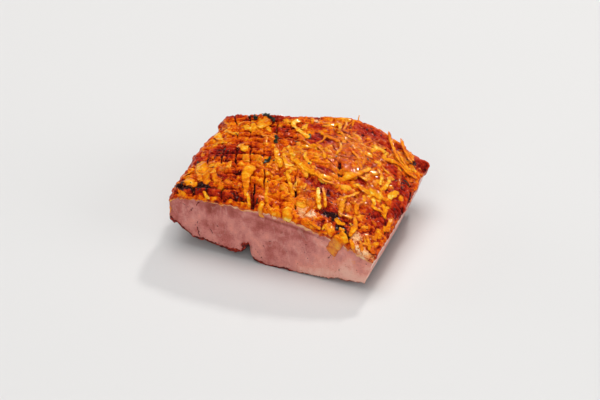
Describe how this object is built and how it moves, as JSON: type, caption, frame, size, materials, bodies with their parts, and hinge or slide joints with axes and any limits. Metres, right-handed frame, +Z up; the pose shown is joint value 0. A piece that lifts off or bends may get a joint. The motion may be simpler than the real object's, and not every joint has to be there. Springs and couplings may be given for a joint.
{
  "type": "glazed ham",
  "caption": "Boned joint of glazed ham with a scored, domed top dressed with shreds of orange peel, and a cut face that shows the pink meat.",
  "frame": {"origin": "middle of the ham in plan, at the height of the surface that it rests on", "axes": "+X along the length, from the roasted left end to the cut right end; +Y from the cut front face to the back; +Z up, through the scored top"},
  "size_m": [0.198, 0.1478, 0.0782],
  "materials": {
    "ham": "glazed roast meat, pink where it is cut",
    "peel": "sticky, slightly clear candied orange peel"
  },
  "bodies": {
    "root": {"ham": "ham", "peel_flake_broad": "peel", "peel_chunk_back": "peel", "peel_flake_left": "peel", "peel_chunk_left": "peel", "peel_flake_edge": "peel", "peel_hook": "peel", "peel_strand_lit": "peel", "peel_strand_middle": "peel", "peel_strand_long": "peel", "peel_strand_rising": "peel", "peel_strand_right": "peel", "peel_flake_right": "peel", "peel_strand_corner": "peel", "peel_drape_front": "peel", "peel_tab_front": "peel", "peel_flake_front": "peel"}
  },
  "joints": []
}
